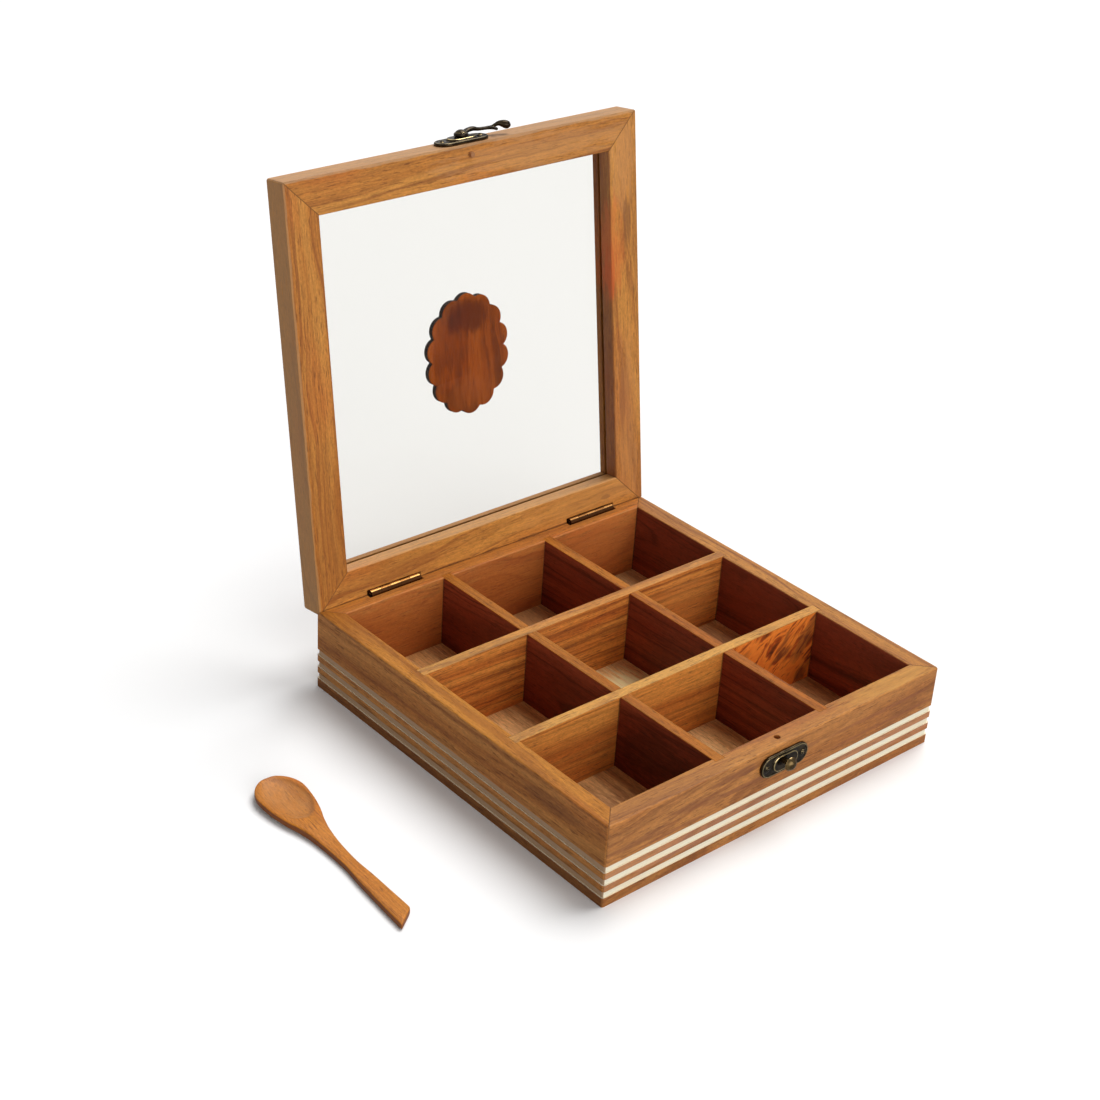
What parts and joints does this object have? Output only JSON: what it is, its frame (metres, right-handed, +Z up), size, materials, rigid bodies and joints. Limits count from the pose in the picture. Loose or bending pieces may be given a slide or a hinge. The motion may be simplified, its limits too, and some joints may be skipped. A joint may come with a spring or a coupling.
{
  "type": "wooden spice box",
  "caption": "Square wooden spice box with dividers, a hinged glass-panelled lid, a swing hook catch, inlaid bands and a wooden spoon.",
  "frame": {"origin": "middle of the underside of the box, on the surface it stands on", "axes": "+X to the right along the front, +Y from the front to the hinged back, +Z up; the lid is open at rest"},
  "size_m": [0.2721, 0.2423, 0.2403],
  "materials": {
    "box_wood": "golden brown straight-grained hardwood, thin satin lacquer",
    "divider_wood": "warm reddish brown hardwood boards, sawn and sealed",
    "base_wood": "pale tan board with fine grain, sealed",
    "inlay_wood": "cream coloured inlay wood, satin",
    "lid_wood": "golden brown hardwood frame, thin satin lacquer",
    "clear_glass": "clear float glass, polished",
    "medallion_wood": "reddish brown cut wood with darkened edges",
    "antique_brass": "dark antique brass, worn brighter on the high places",
    "hinge_brass": "bright yellow brass, lightly worn",
    "peg_wood": "pale dowel wood",
    "spoon_wood": "orange tan carved wood, oiled"
  },
  "bodies": {
    "box": {"front_wall": "box_wood", "back_wall": "box_wood", "left_wall": "box_wood", "right_wall": "box_wood", "base_panel": "base_wood", "divider_left": "divider_wood", "divider_right": "divider_wood", "divider_front": "divider_wood", "divider_back": "divider_wood", "inlay_band_1": "inlay_wood", "inlay_band_2": "inlay_wood", "inlay_band_3": "inlay_wood", "keeper_plate": "antique_brass", "keeper_stud": "antique_brass", "keeper_nails": "antique_brass", "hinge_left_box_leaf": "hinge_brass", "hinge_left_pin": "hinge_brass", "hinge_right_box_leaf": "hinge_brass", "hinge_right_pin": "hinge_brass", "hinge_box_screws": "hinge_brass"},
    "lid": {"lid_front_rail": "lid_wood", "lid_back_rail": "lid_wood", "lid_left_stile": "lid_wood", "lid_right_stile": "lid_wood", "glass_pane": "clear_glass", "medallion": "medallion_wood", "lid_peg": "peg_wood", "catch_plate": "antique_brass", "catch_rivet": "antique_brass", "catch_nails": "antique_brass", "hinge_left_lid_leaf": "hinge_brass", "hinge_right_lid_leaf": "hinge_brass", "hinge_lid_screws": "hinge_brass"},
    "catch_arm": {"hook_arm": "antique_brass"},
    "spoon": {"spoon": "spoon_wood"}
  },
  "joints": [
    {"name": "lid_hinge", "type": "hinge", "parent": "box", "child": "lid", "pos_m": [0, 0.0968, 0.04015], "axis": [1, 0, 0], "range_deg": [0, 98]},
    {"name": "catch_swing", "type": "hinge", "parent": "lid", "child": "catch_arm", "pos_m": [0, 0.13039, 0.23315], "axis": [0, -0.1392, -0.9903], "range_deg": [-90, 86.4]},
    {"name": "spoon_lift", "type": "slide", "parent": "box", "child": "spoon", "axis": [0, 0, 1], "range_m": [0, 0.06]}
  ]
}
